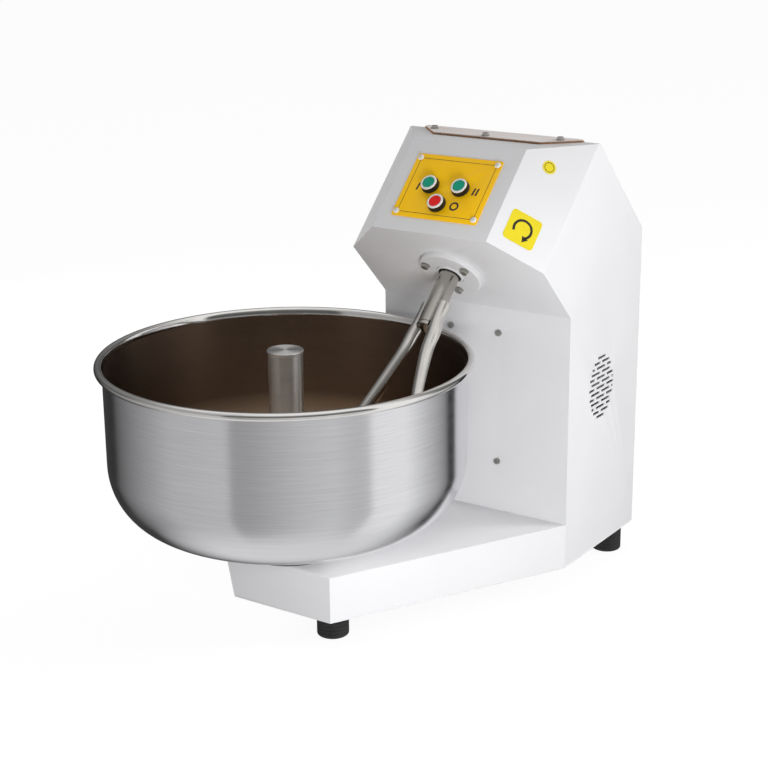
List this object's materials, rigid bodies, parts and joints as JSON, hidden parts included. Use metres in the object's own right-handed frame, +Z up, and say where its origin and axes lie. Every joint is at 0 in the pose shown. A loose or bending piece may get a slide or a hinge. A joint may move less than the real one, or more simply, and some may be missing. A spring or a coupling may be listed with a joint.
{
  "type": "fork dough mixer",
  "caption": "Commercial fork dough mixer: white steel cabinet, rolled-rim steel bowl turning on a low base, inclined two-tine agitator and a yellow push-button panel.",
  "frame": {"origin": "centre of the mixer's bounding box in plan, on the floor under the feet", "axes": "+Z up; -Y towards the bowl, where the operator stands; +X to the side with the ventilation slots"},
  "size_m": [0.681, 0.975, 0.8201],
  "materials": {
    "white_paint": "smooth semi-gloss powder coat",
    "cover_paint": "satin light grey paint",
    "brushed_steel": "circumferentially brushed stainless steel",
    "polished_steel": "polished",
    "zinc_steel": "dull zinc plate",
    "cast_iron": "grey, oiled",
    "motor_paint": "blue-grey machine enamel",
    "black_plastic": "satin black",
    "rubber": "matte black",
    "gasket_cork": "brown rubberised cork",
    "yellow_plate": "satin yellow enamel",
    "green_plastic": "gloss green",
    "red_plastic": "gloss red"
  },
  "bodies": {
    "frame": {"body_shell": "white_paint", "base_tongue": "white_paint", "base_plate": "white_paint", "rear_cover": "white_paint", "foot_front_right": "rubber", "foot_front_left": "rubber", "foot_rear_right": "rubber", "foot_rear_left": "rubber", "column_bolt_1": "zinc_steel", "column_bolt_2": "zinc_steel", "column_bolt_3": "zinc_steel", "column_bolt_4": "zinc_steel", "service_cover": "cover_paint", "service_gasket": "gasket_cork", "service_cover_bolt_1": "zinc_steel", "service_cover_bolt_2": "zinc_steel", "service_cover_bolt_3": "zinc_steel", "rear_cover_screw_1": "zinc_steel", "rear_cover_screw_2": "zinc_steel", "rear_cover_screw_3": "zinc_steel", "rear_cover_screw_4": "zinc_steel", "cable_gland": "black_plastic", "control_plate": "yellow_plate", "control_plate_screw_1": "polished_steel", "control_plate_screw_2": "polished_steel", "control_plate_screw_3": "polished_steel", "control_plate_screw_4": "polished_steel", "button_speed_1_housing": "black_plastic", "button_speed_2_housing": "black_plastic", "button_stop_housing": "black_plastic", "agitator_flange": "zinc_steel", "agitator_flange_bolt_1": "zinc_steel", "agitator_flange_bolt_2": "zinc_steel", "agitator_flange_bolt_3": "zinc_steel", "agitator_seal": "rubber", "agitator_bearing_housing": "cast_iron", "agitator_bearing_lower": "polished_steel", "agitator_bearing_upper": "polished_steel", "drive_plate": "cast_iron", "motor_body": "motor_paint", "drive_belt": "rubber", "bowl_bearing_housing": "cast_iron", "bowl_bearing": "polished_steel", "gearmotor": "motor_paint", "gearbox_shelf": "cast_iron", "drive_chain": "cast_iron"},
    "bowl_unit": {"bowl": "brushed_steel", "bowl_post": "brushed_steel", "bowl_hub": "cast_iron", "bowl_sprocket": "cast_iron"},
    "agitator": {"agitator_shaft": "polished_steel", "agitator_tine_right": "polished_steel", "agitator_tine_left": "polished_steel", "agitator_pulley": "cast_iron"},
    "motor_rotor": {"motor_pulley": "cast_iron"},
    "chain_wheel": {"gearmotor_sprocket": "cast_iron"},
    "speed_1_button": {"button_speed_1_cap": "green_plastic"},
    "speed_2_button": {"button_speed_2_cap": "green_plastic"},
    "stop_button": {"button_stop_cap": "red_plastic"}
  },
  "joints": [
    {"name": "bowl_spin", "type": "hinge", "parent": "frame", "child": "bowl_unit", "pos_m": [-0.0175, -0.1645, 0.1945], "axis": [0, 0, 1], "continuous": true},
    {"name": "agitator_spin", "type": "hinge", "parent": "frame", "child": "agitator", "pos_m": [0.1455, 0.1105, 0.595], "axis": [0, -0.7071, -0.7071], "continuous": true},
    {"name": "motor_spin", "type": "hinge", "parent": "frame", "child": "motor_rotor", "pos_m": [0.1455, 0.25192, 0.45358], "axis": [0, -0.7071, -0.7071], "continuous": true},
    {"name": "chain_wheel_spin", "type": "hinge", "parent": "frame", "child": "chain_wheel", "pos_m": [0.0555, 0.2855, 0.084], "axis": [0, 0, 1], "continuous": true},
    {"name": "speed_1_press", "type": "slide", "parent": "frame", "child": "speed_1_button", "axis": [0, 0.7071, -0.7071], "range_m": [0, 0.004], "stiffness_N_per_m": 500},
    {"name": "speed_2_press", "type": "slide", "parent": "frame", "child": "speed_2_button", "axis": [0, 0.7071, -0.7071], "range_m": [0, 0.004], "stiffness_N_per_m": 500},
    {"name": "stop_press", "type": "slide", "parent": "frame", "child": "stop_button", "axis": [0, 0.7071, -0.7071], "range_m": [0, 0.004], "stiffness_N_per_m": 500}
  ],
  "couplings": [
    {"joint": "agitator_spin", "follows": "bowl_spin", "ratio": 4},
    {"joint": "motor_spin", "follows": "bowl_spin", "ratio": 8.5714},
    {"joint": "chain_wheel_spin", "follows": "bowl_spin", "ratio": 3}
  ]
}
